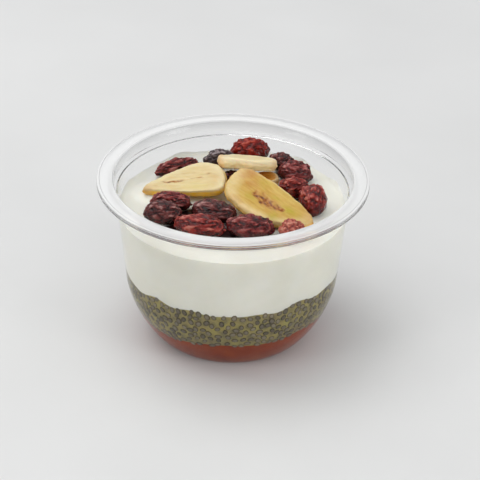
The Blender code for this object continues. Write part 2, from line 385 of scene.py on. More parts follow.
# %% [markdown]
# ## The lines of the pot
#
# Where the sheet is folded in its mould, the plastic is thicker. Fine grooves were drawn in the
# section at those places. Their points get a number here, which the finish below reads as a darker
# tint, painted shade along the folds. Under the ledge the line is broken into dashes, which are a
# painted reflection.

# %% The lines of the pot
ON_LINE = 0.02 * MM
DASH = 16 * MM
# the radius and height of each line, and how dark its painted shade is
POT_LINES = (
    (RIM_GROOVE_RADIUS, POT_HEIGHT - GROOVE, 0.75),
    (RIM_RADIUS - GROOVE, POT_HEIGHT - LIP_GROOVE_DROP, 0.4),
    (MOUTH_RADIUS, POT_HEIGHT - EDGE_ROUND, 0.55),
    (RIM_RADIUS, POT_HEIGHT - LIP_DROP, 0.2),
    (WALL_TOP_RADIUS, POT_HEIGHT - LEDGE_DROP - WALL, 1.0),
)
rows = points_of(pot)
reach = np.hypot(rows[:, 0], rows[:, 1])
painted_line_shade = np.zeros(len(rows))
for radius, height, strength in POT_LINES:
    on_line = np.hypot(reach - radius, rows[:, 2] - height) < ON_LINE
    painted_line_shade[on_line] = strength
# painted reflection: under the ledge the line is broken into dark dashes
broken = np.array([noise.noise(Vector(row) / DASH) for row in rows])
dashed = rows[:, 2] < POT_HEIGHT - LEDGE_DROP
painted_line_shade = np.where(dashed, painted_line_shade * ease(0.0, 0.25, broken), painted_line_shade)
paint(pot, "line", painted_line_shade)
print("the lines of the pot have", int((painted_line_shade > 0).sum()), "points")

# %% [markdown]
# ## Clear plastic
#
# Clear plastic bends light a little less than window glass. A render is slow and dark behind
# such a shell, because the lamps can't be seen through it. So rays that look for a lamp pass
# straight through, and all others are bent and mirrored as they should be. Pressed plastic is
# never quite even: a weak wide ripple runs through its surface. The flat of the rim scatters more
# light than the rest, so it gets a cloudier finish of its own.

# %% Finish of the pot
def plastic_finish(name, clear, line_shade_colour, **plain):
    """Plastic with a weak ripple, and painted shade along the lines of the pot."""
    made, tree, shader = finish(name, IOR=1.33, **plain)
    # painted shade: the base colour is darkened along the lines of the pot
    line = add(tree, "Attribute", attribute_name="line").outputs["Fac"]
    tree.links.new(blend_colours(tree, line, clear, line_shade_colour), shader.inputs["Base Color"])
    bumps(tree, shader, mottle(tree, 9 * MM, 2.0), 0.02 * MM)
    return made, tree, shader


clear_plastic, tree, shader = plastic_finish(
    "clear_plastic", (1.0, 1.0, 1.0), (0.30, 0.30, 0.30),
    Roughness=0.10, Transmission_Weight=1.0, Specular_IOR_Level=0.35,
)
straight_through = add(tree, "BsdfTransparent", {"Color": (0.97, 0.98, 0.98, 1)})
shadow_ray = add(tree, "LightPath").outputs["Is Shadow Ray"]
mixed = add(tree, "MixShader", {0: shadow_ray, 1: shader.outputs[0]})
tree.links.new(straight_through.outputs[0], mixed.inputs[2])
tree.links.new(mixed.outputs[0], tree.nodes["Material Output"].inputs["Surface"])
cloudy_plastic = plastic_finish(
    "cloudy_plastic", (0.92, 0.92, 0.91), (0.42, 0.42, 0.42),
    Roughness=0.14, Transmission_Weight=0.35,
)[0]
for each in (clear_plastic, cloudy_plastic):
    pot.data.materials.append(each)
for face in pot.data.polygons:
    middle = face.center
    flat_rim = MOUTH_RADIUS + 0.4 * EDGE_ROUND < middle.xy.length < RIM_RADIUS - 0.3 * EDGE_ROUND
    if flat_rim and middle.z > POT_HEIGHT - EDGE_ROUND:
        face.material_index = 1
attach(pot, "root")
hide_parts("pot")

# %% [markdown]
# ## Where the layers meet
#
# A spooned layer never ends in a level line. Its edge on the wall goes up and down in a few slow
# waves and some short ones. The same waves are used for the top of one layer and the bottom of
# the next, so that they fit. Each layer reaches a little way into the wall. Otherwise a film of
# air would show between the food and the plastic.

# %% The layers' edges
PUREE_TOP = 13.2 * MM
CHIA_TOP = 27.65 * MM
YOGURT_TOP = 49.7 * MM
INTO_WALL = 0.5 * MM
LAYER_STEPS = 240
PUREE_WAVES = ((1, 0.6, 1.7), (3, 0.6, -1.6), (6, 0.7, -0.5))
CHIA_WAVES = ((2, 0.4, -3.1), (5, 0.5, -0.5), (9, 0.2, 3.1), (13, 0.4, 0.9), (18, 0.3, -0.7))


def edge_height(height, waves, angle):
    """The height of a layer's edge on the wall in a direction, from the waves along it."""
    return height + sum(high * np.sin(count * angle + turn) for count, high, turn in waves) * MM


def waved(piece, low, low_waves, high, high_waves):
    """Slides the points of a layer up or down the wall until its edges follow their waves."""
    points = points_of(piece)
    angle = np.arctan2(points[:, 1], points[:, 0])
    share = (points[:, 2] - low) / (high - low)
    bottom = edge_height(low, low_waves, angle)
    top = edge_height(high, high_waves, angle)
    height = bottom + (top - bottom) * share
    reach = np.hypot(points[:, 0], points[:, 1])
    on_wall = reach > wall_radius(points[:, 2], INTO_WALL) - 0.01 * MM
    radius = np.where(on_wall, wall_radius(height, INTO_WALL), reach)
    keep = reach < MM
    points[:, 0] = np.where(keep, points[:, 0], radius * np.cos(angle))
    points[:, 1] = np.where(keep, points[:, 1], radius * np.sin(angle))
    points[:, 2] = np.where(keep, points[:, 2], height)
    put_points(piece, points)


# %% [markdown]
# ## The fruit puree
#
# The puree fills the bowl below the seeds, down to the recess of the foot. It is turned like the
# pot, a little larger than the hollow that holds it. Only its top edge is waved.

# %% The puree
PUREE_EVEN_FROM = 1.6 * MM
PUREE_ROWS = 18
recess_radius = FOOT_RADIUS - FOOT_RING_WIDTH - FOOT_SLOPE
puree_low = bowl_point(0, INTO_WALL)[1]
puree_outline = [(0, FOOT_RECESS + INTO_WALL), (recess_radius, FOOT_RECESS + INTO_WALL)]
puree_outline += [(FOOT_RADIUS - FOOT_RING_WIDTH, INTO_WALL)]
# close rows round the corner of the foot, then even ones up to the top
corner_rows = puree_low + np.array([0, 0.1, 0.3, 0.6]) * MM
even_rows = np.linspace(PUREE_EVEN_FROM, PUREE_TOP, PUREE_ROWS)
for height in np.concatenate([corner_rows, even_rows]):
    puree_outline.append((float(wall_radius(height, INTO_WALL)), float(height)))
puree_outline.append((0, PUREE_TOP))
puree = turned("puree_layer", puree_outline, LAYER_STEPS)
rows = points_of(puree)
lifted = rows.copy()
angle = np.arctan2(rows[:, 1], rows[:, 0])
share = ease(PUREE_TOP * 0.5, PUREE_TOP, rows[:, 2]) * (np.hypot(rows[:, 0], rows[:, 1]) > MM)
lifted[:, 2] += share * (edge_height(PUREE_TOP, PUREE_WAVES, angle) - PUREE_TOP)
radius = wall_radius(lifted[:, 2], INTO_WALL)
outer = share > 0
lifted[outer, 0] = (radius * np.cos(angle))[outer]
lifted[outer, 1] = (radius * np.sin(angle))[outer]
put_points(puree, lifted)
only(puree)
bpy.ops.object.shade_smooth()

# %% Finish of the puree
puree_finish, tree, shader = finish(
    "fruit_puree", Roughness=0.45, IOR=1.38, Specular_IOR_Level=0.1,
    Subsurface_Weight=0.25, Subsurface_Scale=1.5 * MM,
)
shader.inputs["Subsurface Radius"].default_value = (1.0, 0.35, 0.2)
pulp = mottle(tree, 5 * MM, 4.0)
fleck = mottle(tree, 0.7 * MM, 2.0)
body = ramp(tree, pulp, (0.3, (0.25, 0.030, 0.003)), (0.7, (0.35, 0.058, 0.005)))
flecked = blend_colours(
    tree, ramp(tree, fleck, (0.62, (0, 0, 0)), (0.75, (0.5, 0.5, 0.5))), body, (0.36, 0.12, 0.05)
)
tree.links.new(flecked, shader.inputs["Base Color"])
puree.data.materials.append(puree_finish)
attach(puree, "root")
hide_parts("fruit_puree")

# %% [markdown]
# ## The gel of the chia seeds
#
# Chia seeds swell in liquid and bind it to a soft, olive coloured gel. The gel is one turned
# layer between the puree and the yogurt. The seeds that show are real shapes on its side, and
# the ones deeper down are soft dark spots in its colour.

# %% The gel
GEL_ROWS = 16
gel_heights = np.linspace(PUREE_TOP, CHIA_TOP, GEL_ROWS + 1)
gel_outline = [(0, PUREE_TOP)]
gel_outline += [(float(wall_radius(height, INTO_WALL)), float(height)) for height in gel_heights]
gel_outline += [(0, CHIA_TOP)]
gel = turned("chia_gel", gel_outline, LAYER_STEPS)
waved(gel, PUREE_TOP, PUREE_WAVES, CHIA_TOP, CHIA_WAVES)
only(gel)
bpy.ops.object.shade_smooth()

# %% Finish of the gel
gel_finish, tree, shader = finish(
    "chia_gel", Roughness=0.4, IOR=1.36, Specular_IOR_Level=0.15,
    Subsurface_Weight=0.2, Subsurface_Scale=1.0 * MM,
)
place = add(tree, "TexCoord").outputs["Object"]
cells = add(tree, "TexVoronoi", {"Vector": place, "Scale": 1 / (2.3 * MM)}, feature="SMOOTH_F1")
deep_seed = ramp(tree, cells.outputs["Distance"], (0.15, (1, 1, 1)), (0.55, (0, 0, 0)))
tint = ramp(
    tree, mottle(tree, 6 * MM), (0.35, (0.315, 0.265, 0.120)), (0.65, (0.385, 0.325, 0.105))
)
spotted = blend_colours(tree, deep_seed, tint, (0.21, 0.18, 0.09))
tree.links.new(spotted, shader.inputs["Base Color"])
gel.data.materials.append(gel_finish)
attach(gel, "root")
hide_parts("chia_seeds")

# %% [markdown]
# ## The seeds
#
# A soaked seed is a flat oval of about two millimetres. Its dark edge is painted shade, where the
# gel bends the light round it, and its pale middle is partly a painted highlight. One small ball is
# modelled, and many copies of it are pressed into oval shapes and laid on the side of the gel,
# never closer than a set distance. The copies are joined in one mesh. Some lie deeper, and show
# only a small cap. They are flat and hardly tilted, so that none comes out through the thin wall.
# Each point keeps a number that says how far it faces the wall, which sets that painted shade and
# highlight, and its seed's tone.

# %% Where the seeds lie
SEED_SIZE = Vector((1.32, 1.02, 0.40)) * MM
SEED_SPACE = 2.08 * MM
SEED_TRIES = 20000
draw = np.random.default_rng(7)


def scattered(space, tries):
    """Places on the side of the gel, first along its top edge, spread evenly but not in rows."""
    on_edge = tries // 60
    turns = draw.uniform(-math.pi, math.pi, tries)
    shares = draw.uniform(-0.02, 0.95, tries)
    shares[:on_edge] = draw.uniform(0.88, 0.965, on_edge)
    low = edge_height(PUREE_TOP, PUREE_WAVES, turns)
    height = low + (edge_height(CHIA_TOP, CHIA_WAVES, turns) - low) * shares
    radius = wall_radius(height, INTO_WALL)
    spots = np.stack([radius * np.cos(turns), radius * np.sin(turns), height], 1)
    kept = np.empty((0, 3))
    for spot in spots:
        if not len(kept) or ((kept - spot) ** 2).sum(1).min() > space**2:
            kept = np.vstack([kept, spot])
    return kept


seed_spots = scattered(SEED_SPACE, SEED_TRIES)
print(len(seed_spots), "seeds lie against the wall")

# %% One seed, then all of them
SEED_SINK = 0.06 * MM
bpy.ops.object.select_all(action="DESELECT")
bpy.ops.mesh.primitive_uv_sphere_add(segments=12, ring_count=6, radius=1, location=(0, 0, 0))
pattern = bpy.context.object
pattern_points = points_of(pattern)
pattern_faces = [list(face.vertices) for face in pattern.data.polygons]
bpy.data.objects.remove(pattern)


def wall_normal(spot):
    """The direction that points square out of the wall at a spot."""
    step = 0.2 * MM
    upper, lower = (wall_radius(spot[2] + way * step, INTO_WALL) for way in (1, -1))
    lean = (upper - lower) / (2 * step)
    out = Vector((spot[0], spot[1], 0)).normalized()
    return (out - Vector((0, 0, float(lean)))).normalized()


def laid_seeds(spots, sink):
    """The points of all seeds, and for each how far it faces the wall, and its seed's tone."""
    places, facing, tones = [], [], []
    for spot in spots:
        out = wall_normal(spot)
        along = out.orthogonal().normalized()
        along.rotate(Matrix.Rotation(draw.uniform(0, math.pi), 3, out))
        across = out.cross(along)
        tilt = Matrix.Rotation(draw.normal(0, 0.05), 3, along)
        axes = np.array([along, tilt @ across, tilt @ out])
        size = np.array(SEED_SIZE) * draw.uniform(0.86, 1.12)
        depth = sink + draw.uniform(-0.03, 0.12) * MM
        centre = np.array(spot) - np.array(out) * depth
        places.append(centre + (pattern_points * size) @ axes)
        facing.append(pattern_points @ axes @ np.array(out))
        tones.append(np.full(len(pattern_points), draw.uniform(0, 1)))
    return np.concatenate(places), np.concatenate(facing), np.concatenate(tones)


seed_points, seed_facing, seed_tones = laid_seeds(seed_spots, SEED_SINK)
count = len(pattern_points)
seed_faces = [
    [corner + seed * count for corner in face]
    for seed in range(len(seed_spots)) for face in pattern_faces
]
seed_mesh = bpy.data.meshes.new("chia_seed_layer")
seed_mesh.from_pydata(seed_points.tolist(), [], seed_faces)
seeds = bpy.data.objects.new("chia_seed_layer", seed_mesh)
bpy.context.scene.collection.objects.link(seeds)
paint(seeds, "facing", seed_facing)
paint(seeds, "tone", seed_tones)
only(seeds)
bpy.ops.object.shade_smooth()
print("the seeds have", len(seed_mesh.polygons), "faces")

# %% Finish of the seeds
seed_finish, tree, shader = finish("soaked_seed", Roughness=0.35, IOR=1.4, Specular_IOR_Level=0.2)
facing = add(tree, "Attribute", attribute_name="facing").outputs["Fac"]
tone = add(tree, "Attribute", attribute_name="tone").outputs["Fac"]
# painted shade: the dark ring at the seed's edge; the pale middle stop is partly a painted
# highlight
seed_colour_and_edge_shade = ramp(
    tree, facing,
    (0.06, (0.28, 0.235, 0.10)), (0.24, (0.072, 0.055, 0.024)), (0.56, (0.092, 0.073, 0.037)),
    (0.86, (0.235, 0.200, 0.145)),
)
light = ramp(
    tree, tone,
    (0.0, (0.55, 0.55, 0.55)), (0.6, (0.95, 0.95, 0.95)), (1.0, (1.25, 1.25, 1.2)),
)
tree.links.new(blend_colours(tree, 1.0, seed_colour_and_edge_shade, light, "MULTIPLY"), shader.inputs["Base Color"])
seeds.data.materials.append(seed_finish)
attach(seeds, "root")

# %% [markdown]
# ## The yogurt
#
# Thick yogurt keeps the marks of the spoon as soft waves, and it climbs a little way up where it
# touches the wall or a piece of fruit. The layer is turned with many close rings on top, so that
# these small forms can be moved into it. At the back it was smeared up the wall by the spoon.
# Where cranberries lie close together, the yogurt between them is darkened nearly to black, as
# painted shade in the gaps. The fruit comes later, but the places where it will lie are already
# known from the solids.

# %% Where the fruit presses on the yogurt
REST = YOGURT_TOP + 0.4 * MM
fruit_nodes = [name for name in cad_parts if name.startswith(("cranberry", "banana"))]


def footprint(node):
    """The middle, axes and half sizes of the oval that a piece of fruit covers, seen from above."""
    flat = points_of(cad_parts[node])
    low = flat[flat[:, 2] < flat[:, 2].min() + 3 * MM][:, :2]
    middle = (low.max(0) + low.min(0)) / 2
    axes = np.linalg.eigh(np.cov((low - middle).T))[1]
    return middle, axes, np.abs((low - middle) @ axes).max(0)


prints = {node: footprint(node) for node in fruit_nodes}
lows = {node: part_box(node)[0].z for node in fruit_nodes}
resting = [node for node in fruit_nodes if lows[node] < REST + 1.0 * MM]
print(len(resting), "of", len(fruit_nodes), "pieces of fruit lie on the yogurt")

# %% The yogurt layer
YOGURT_RINGS = 52
WAVE_SIZE, WAVE_HEIGHT = 14 * MM, 0.35 * MM
RIPPLE_SIZE, RIPPLE_HEIGHT = 5 * MM, 0.06 * MM
CLIMB = 0.4 * MM
FRUIT_SINK = 0.25 * MM
SMEAR_SIZE, SMEAR_HEIGHT = 13 * MM, 2.2 * MM
yogurt_side = np.linspace(CHIA_TOP, YOGURT_TOP, 14)
yogurt_outline = [(0, CHIA_TOP)]
yogurt_outline += [(float(wall_radius(height, INTO_WALL)), float(height)) for height in yogurt_side]
brim = yogurt_outline[-1][0]
yogurt_outline += [(brim * share, YOGURT_TOP) for share in np.linspace(1, 0, YOGURT_RINGS)[1:]]
yogurt = turned("yogurt_layer", yogurt_outline, LAYER_STEPS)
rows = points_of(yogurt)
angle = np.arctan2(rows[:, 1], rows[:, 0])
reach = np.hypot(rows[:, 0], rows[:, 1])
on_top = rows[:, 2] > YOGURT_TOP - 0.01 * MM
below = ease(YOGURT_TOP, CHIA_TOP, rows[:, 2]) * (reach > MM)
rows[:, 2] += below * (edge_height(CHIA_TOP, CHIA_WAVES, angle) - CHIA_TOP)
side = ~on_top & (reach > MM)
rows[side, 0] = (wall_radius(rows[:, 2], INTO_WALL) * np.cos(angle))[side]
rows[side, 1] = (wall_radius(rows[:, 2], INTO_WALL) * np.sin(angle))[side]
for index in np.nonzero(on_top)[0]:
    x, y, z = rows[index]
    share = reach[index] / brim
    wave = noise.noise(Vector((x, y, 0)) / WAVE_SIZE) * min(1, 2 * share)
    ripple = noise.noise(Vector((x, y, RIPPLE_SIZE)) / RIPPLE_SIZE)
    z += WAVE_HEIGHT * wave + RIPPLE_HEIGHT * ripple + CLIMB * share**14
    for node in resting:
        middle, axes, half = prints[node]
        local = (np.array((x, y)) - middle) @ axes / half
        press = 1 - ease(0.85, 1.3, math.hypot(*local))
        z += press * max(0, lows[node] + FRUIT_SINK - z)
    if share > 0.999:
        smear = ease(-0.3, 0.7, noise.noise(Vector((x, y, 0)) / SMEAR_SIZE))
        z += SMEAR_HEIGHT * smear * ease(-0.5, 0.2, y / brim)
        rows[index, :2] *= wall_radius(z, INTO_WALL) / reach[index]
    rows[index, 2] = z
put_points(yogurt, rows)
# painted shade: the yogurt is darkened where two or more cranberries lie close together
close = np.zeros(len(rows))
for node in resting:
    middle, axes, half = prints[node]
    local = (rows[:, :2] - middle) @ axes / (half + 0.5 * MM)
    if node.startswith("cranberry"):
        close += 1 - ease(0.95, 1.65, np.hypot(local[:, 0], local[:, 1]))
paint(yogurt, "painted_gap_shade", ease(0.95, 1.35, close) * on_top)
only(yogurt)
bpy.ops.object.shade_smooth_by_angle(angle=math.radians(50))

# %% Finish of the yogurt
yogurt_finish, tree, shader = finish(
    "yogurt", Roughness=0.32, IOR=1.4, Subsurface_Weight=0.35, Subsurface_Scale=2.0 * MM
)
shader.inputs["Subsurface Radius"].default_value = (1.0, 0.85, 0.6)
cream = ramp(
    tree, mottle(tree, 12 * MM), (0.3, (0.82, 0.81, 0.715)), (0.7, (0.88, 0.87, 0.785))
)
painted_gap_shade = add(tree, "Attribute", attribute_name="painted_gap_shade").outputs["Fac"]
# painted shade: a nearly black red in the gaps between the cranberries
gap_shaded = blend_colours(tree, painted_gap_shade, cream, (0.035, 0.010, 0.010))
tree.links.new(gap_shaded, shader.inputs["Base Color"])
bumps(tree, shader, mottle(tree, 2.2 * MM, 3.0), 0.05 * MM)
yogurt.data.materials.append(yogurt_finish)
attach(yogurt, "root")
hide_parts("yogurt")

# %% [markdown]
# ## Dried cranberries
#
# A cranberry shrinks as it dries, and its skin, which can't shrink with it, folds up into ridges
# that run mostly lengthways. By hand one would start from the plain solid, give it an even fine
# mesh, and push that mesh out and in along patterns: large folds first, then small wrinkles.
# An empty that lies along the berry and is stretched with it steers the patterns, so that the
# folds follow the berry. How far each point was pushed is kept as a number, because the bottom
# of a fold is darker than its ridge, partly in its own colour and partly as painted shade. The
# number is also lowered towards the bottom of the berry, as painted shade on its underside. At the
# end each berry is fitted to its plain solid again, as the pushes would make it a little larger.

# %% A plain solid becomes a fine mesh
def fine_copy(node, name, voxel, soften):
    """A copy of a plain solid with an even fine mesh, softened so that its facets are gone."""
    piece = bpy.data.objects.new(name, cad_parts[node].data.copy())
    piece.data.name = name
    piece.data.materials.clear()
    bpy.context.scene.collection.objects.link(piece)
    only(piece)
    bpy.ops.object.mode_set(mode="EDIT")
    bpy.ops.mesh.select_all(action="SELECT")
    bpy.ops.mesh.remove_doubles(threshold=0.001 * MM)
    bpy.ops.mesh.normals_make_consistent(inside=False)
    bpy.ops.object.mode_set(mode="OBJECT")
    remesh = piece.modifiers.new("even_mesh", "REMESH")
    remesh.mode = "VOXEL"
    remesh.voxel_size = voxel
    smooth = piece.modifiers.new("soft", "SMOOTH")
    smooth.iterations = soften
    apply_modifiers(piece)
    return piece


def ruler(points, stretch):
    """An empty that lies along a piece and is as large as it, for a pattern to follow."""
    middle = (points.max(0) + points.min(0)) / 2
    size, axes = np.linalg.eigh(np.cov((points - middle).T))
    axes = axes[:, ::-1]
    if np.linalg.det(axes) < 0:
        axes[:, 2] *= -1
    half = np.abs((points - middle) @ axes).max(0)
    bpy.ops.object.empty_add(location=middle)
    made = bpy.context.object
    made.matrix_world = (
        Matrix.Translation(middle)
        @ Matrix(axes.tolist()).to_4x4()
        @ Matrix.Diagonal((half[0] * stretch, half[1], half[2], 1))
    )
    return made


def pushed(piece, texture, depth, middle, guide):
    """Pushes a piece out and in along its normals by a pattern, and returns how far."""
    before = points_of(piece)
    press = piece.modifiers.new("press", "DISPLACE")
    press.texture = texture
    press.texture_coords = "OBJECT"
    press.texture_coords_object = guide
    press.strength = depth
    press.mid_level = middle
    normals = np.array([vertex.normal for vertex in piece.data.vertices])
    apply_modifiers(piece)
    return ((points_of(piece) - before) * normals).sum(1)


# %% Patterns of the skin
def pattern_of(name, size, depth):
    """A crumpled pattern of the older kind that the Displace modifier reads."""
    made = bpy.data.textures.new(name, "CLOUDS")
    made.noise_type = "HARD_NOISE"
    made.noise_scale = size
    made.noise_depth = depth
    return made


# each pattern and how far it pushes the skin
SKIN_PATTERNS = (
    (pattern_of("folds", 0.50, 1), 0.95 * MM),
    (pattern_of("wrinkles", 0.27, 1), 0.85 * MM),
)

# how much of the wrinkles is left on the lower half of a berry
SMOOTH_BELOW = {
    "cranberry_middle": 0.15, "cranberry_front_middle": 0.30, "cranberry_right_front": 0.25,
    "cranberry_back_red": 0.45, "cranberry_right_upper": 0.40, "cranberry_back_dark": 0.35,
}

# %% The cranberries
BERRY_VOXEL = 0.21 * MM
BERRY_TONES = {
    "cranberry_back_red": "bright",
    "cranberry_back_dark": "slate",
    "cranberry_back_left": "wine",
    "cranberry_right_far": "dark",
    "cranberry_right_upper": "wine",
    "cranberry_right_middle": "red",
    "cranberry_right_front": "red",
    "cranberry_left_upper": "wine",
    "cranberry_left_lower": "dark",
    "cranberry_middle": "dark",
    "cranberry_front_left": "red",
    "cranberry_front_middle": "wine",
    "cranberry_front_right": "pink",
    "cranberry_centre": "dark",
}


def fit_to_solid(piece, node):
    """Stretches a piece until it is as long, wide and high as its solid, in the same place."""
    rows = points_of(piece)
    low, high = (np.array(corner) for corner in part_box(node))
    share = (rows - rows.min(0)) / (rows.max(0) - rows.min(0))
    put_points(piece, low + share * (high - low))


def dried_berry(node):
    """One dried cranberry in the place of its plain solid."""
    piece = fine_copy(node, "dried_" + node, BERRY_VOXEL, 6)
    plain = points_of(piece)
    height = (plain[:, 2] - plain[:, 2].min()) / np.ptp(plain[:, 2])
    guide = ruler(plain, 1.15)
    rise = sum(pushed(piece, pattern, depth, 0.5, guide) for pattern, depth in SKIN_PATTERNS)
    bpy.data.objects.remove(guide)
    left = SMOOTH_BELOW.get(node, 0.75)
    share = left + (1 - left) * ease(0.35, 0.75, height)
    put_points(piece, plain + (points_of(piece) - plain) * share[:, None])
    soften = piece.modifiers.new("soft", "SMOOTH")
    soften.iterations = 2
    apply_modifiers(piece)
    fit_to_solid(piece, node)
    low, high = np.percentile(rise, (4, 96))
    level = np.clip((rise - low) / (high - low), 0, 1)
    # painted shade: the number is lowered towards the bottom of the berry, so its underside is
    # darker
    paint(piece, "ridge", 0.3 + (level - 0.3) * share - 0.40 * (1 - ease(0.05, 0.62, height)))
    only(piece)
    bpy.ops.object.shade_smooth()
    return piece


berries = {node: dried_berry(node) for node in BERRY_TONES}
print("the cranberries have", sum(len(b.data.polygons) for b in berries.values()), "faces")

# %% [markdown]
# ## The skin of a cranberry
#
# The skin is dark red and a little see-through, blackish in the folds, partly as painted shade,
# and wet and shiny. The tips of the ridges get a painted highlight, and the underside painted
# shade. One tree of nodes serves all berries. Only its colours change, from bright red through
# wine to nearly black, as they do in a handful of real ones.

# %% Finishes of the cranberries
def berry_finish(name, deep, middle, ridge, painted_highlight, shine=0.20):
    """Skin with dark folds, partly painted shade, lighter ridges with painted highlights on their
    tips, and a wet shine.
    """
    made, tree, shader = finish(
        name, Roughness=0.3, IOR=1.42, Specular_IOR_Level=0.32, Subsurface_Weight=0.1,
        Subsurface_Scale=0.8 * MM, Coat_Weight=0.10, Coat_Roughness=0.08,
    )
    shader.inputs["Subsurface Radius"].default_value = (1.0, 0.25, 0.2)
    rise = add(tree, "Attribute", attribute_name="ridge").outputs["Fac"]
    cloud = mottle(tree, 3.5 * MM, 3.0)
    level = number(tree, "MULTIPLY_ADD", rise, 0.7, number(tree, "MULTIPLY", cloud, 0.4))
    # painted shade in the folds and on the underside, and a painted highlight on the ridge tips
    skin = ramp(tree, level, (0.16, deep), (0.45, middle), (0.70, ridge), (0.93, painted_highlight))
    tree.links.new(skin, shader.inputs["Base Color"])
    shine_map = number(tree, "MULTIPLY_ADD", mottle(tree, 1.5 * MM), 0.35, shine - 0.12)
    tree.links.new(shine_map, shader.inputs["Roughness"])
    bumps(tree, shader, mottle(tree, 0.6 * MM, 3.0), 0.12 * MM)
    return made


# the colour deep in a fold, partly painted shade, on the skin, on a ridge, and the painted
# highlight on the tip of a ridge
BERRY_COLOURS = {
    "bright": (
        (0.04, 0.004, 0.003), (0.17, 0.007, 0.004), (0.29, 0.018, 0.009), (0.44, 0.08, 0.05),
    ),
    "red": ((0.03, 0.004, 0.004), (0.16, 0.010, 0.008), (0.30, 0.034, 0.024), (0.50, 0.16, 0.12)),
    "wine": ((0.016, 0.004, 0.004), (0.12, 0.011, 0.011), (0.26, 0.044, 0.038), (0.46, 0.19, 0.17)),
    "dark": (
        (0.008, 0.004, 0.004), (0.070, 0.010, 0.010), (0.17, 0.038, 0.033), (0.40, 0.22, 0.20),
    ),
    "slate": (
        (0.012, 0.010, 0.010), (0.060, 0.036, 0.038), (0.17, 0.13, 0.135), (0.42, 0.36, 0.37),
    ),
    "pink": ((0.16, 0.032, 0.026), (0.40, 0.080, 0.055), (0.54, 0.17, 0.12), (0.64, 0.30, 0.22)),
}
BERRY_FINISHES = {
    tone: berry_finish("cranberry_" + tone, *colours) for tone, colours in BERRY_COLOURS.items()
}
for node, tone_name in BERRY_TONES.items():
    berries[node].data.materials.append(BERRY_FINISHES[tone_name])
    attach(berries[node], "root")
    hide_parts(node)

# %% [markdown]
# ## Dried banana slices
#
# A slice of dried banana is a flat slab with a leathery edge. Fine fibres run along its face, and
# the middle holds a row of small brown hollows where the seeds were. Each slice starts as a fine
# copy of its solid. Its points are also measured in the slice's own directions, along, across
# and up, so that fibres, edge and hollows lie where they belong. It is fitted to its solid at the
# end, like the berries.

# %% The slices' own directions
# middle in mm, then turn, slope and roll in degrees
SLICES = {
    "banana_left": (-17.2, 1.5, 54.4, -8, -7.5, 5),
    "banana_right": (14.6, -4.1, 55.5, -45, 10.6, 6),
    "banana_top": (4.8, 16.2, 57.6, -2, 3, -21),
    "banana_under": (11.2, 13.8, 52.1, 8, 0, 3),
}
SLICE_VOXEL = 0.3 * MM

# what shows on a face: its middle along and across in mm, its half sizes in mm, its strength
HOLLOWS = {
    "banana_left": [
        (-4.2, 3.8, 3.4, 0.6, 0.75), (-0.6, 4.3, 2.0, 0.5, 0.6), (3.6, 5.6, 2.6, 0.5, 0.5),
        (7.6, 8.0, 3.0, 0.4, 0.35), (-9.0, 1.2, 2.6, 0.4, 0.3),
    ],
    "banana_right": [
        (-4.4, -4.7, 1.2, 1.1, 0.9), (-2.3, -4.9, 1.7, 1.7, 0.9), (0.2, -5.2, 1.7, 2.0, 1.0),
        (2.6, -5.2, 1.9, 1.6, 0.95), (5.0, -4.4, 1.9, 1.4, 0.85), (7.0, -3.8, 1.1, 0.8, 0.85),
    ],
    "banana_top": [(1.4, -0.8, 3.0, 0.5, 0.55), (5.6, -1.6, 1.6, 0.4, 0.3)],
    "banana_under": [],
}
STAINS = {
    "banana_left": [(-14.0, -1.5, 2.4, 3.0, 0.9), (10.5, -4.0, 4.0, 2.0, 0.3), (11, 6, 3, 3, 0.25)],
    "banana_right": [
        (-9.0, -2.4, 2.8, 2.8, 0.6), (-13.2, 0.8, 3.2, 3.6, 0.75), (1.2, -5.0, 7.0, 2.8, 0.72),
        (-6.0, -13.0, 5.0, 1.6, 0.35), (16.5, 1.0, 3.0, 3.0, 0.5),
    ],
    "banana_top": [
        (-9.8, -2.0, 1.6, 5.0, 0.7), (0, -6.4, 11, 0.9, 0.5), (9.8, -3.0, 1.4, 4.0, 0.5),
    ],
    "banana_under": [(-2.4, 0.0, 3.6, 4.0, 1.0)],
}
OLIVES = {
    "banana_left": [(4.0, 0.0, 6.0, 2.4, 0.35)],
    "banana_right": [
        (-4.2, -7.6, 2.2, 1.7, 0.75), (1.4, -1.4, 2.2, 1.0, 0.6), (9.8, -2.6, 3.8, 1.8, 0.95),
        (8.0, -9.0, 2.2, 2.2, 0.7), (-6.0, 1.0, 3.0, 2.0, 0.4), (4.0, 4.0, 5.0, 2.0, 0.3),
    ],
    "banana_top": [(4.0, -1.6, 2.4, 0.8, 0.4)],
    "banana_under": [],
}


def slice_axes(node):
    """The middle of a slice, and its directions along, across and up as columns."""
    x, y, z, turn, slope, roll = SLICES[node]
    made = Matrix.Rotation(math.radians(turn), 3, "Z")
    made = made @ Matrix.Rotation(math.radians(slope), 3, "Y")
    made = made @ Matrix.Rotation(math.radians(roll), 3, "X")
    return np.array((x, y, z)) * MM, np.array(made)


def spots(local, marks):
    """How strongly each point, in mm, lies in one of the marks, from 0 to 1."""
    total = np.zeros(len(local))
    for along, across, long, wide, strength in marks:
        x = (local[:, 0] - along) / long
        y = (local[:, 1] - across) / wide
        total = np.maximum(total, strength * np.exp(-(x**2) - y**2))
    return total


def outline_reach(local):
    """How far out each point lies, from 0 in the middle to 1 on the outline of its slice."""
    angle = np.arctan2(local[:, 1], local[:, 0])
    reach = np.hypot(local[:, 0], local[:, 1])
    bins = 72
    slot = ((angle + math.pi) / (2 * math.pi) * bins).astype(int) % bins
    longest = np.array([reach[slot == i].max() for i in range(bins)])
    middle = (np.arange(bins) + 0.5) / bins * 2 * math.pi - math.pi
    return reach / np.interp(angle, middle, longest, period=2 * math.pi)

# %% The slices
def rough(rows, *stretch):
    """Smooth noise at each row of numbers, stretched by these factors."""
    return np.array([noise.noise(Vector(row)) for row in rows * np.array(stretch)])


